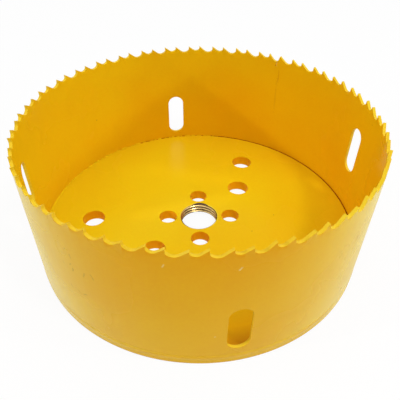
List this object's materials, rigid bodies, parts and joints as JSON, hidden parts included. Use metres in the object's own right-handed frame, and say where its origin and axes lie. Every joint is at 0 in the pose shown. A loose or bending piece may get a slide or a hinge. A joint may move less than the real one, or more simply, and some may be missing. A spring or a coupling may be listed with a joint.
{
  "type": "hole saw",
  "caption": "Cup-shaped hole saw with a toothed edge, plug slots in the wall and a threaded, drilled back plate.",
  "frame": {"origin": "centre of the back plate's underside, on the arbor's axis", "axes": "+Z along the arbor's axis from the back plate towards the teeth, +X through a high plug slot"},
  "size_m": [0.1276, 0.1276, 0.0515],
  "materials": {
    "ring_enamel": "gloss yellow enamel",
    "plate_enamel": "gloss yellow enamel",
    "bead_enamel": "gloss yellow enamel",
    "thread_steel": "cut thread, bare"
  },
  "bodies": {
    "root": {"saw_ring": "ring_enamel", "back_plate": "plate_enamel", "weld_bead": "bead_enamel"}
  },
  "joints": []
}
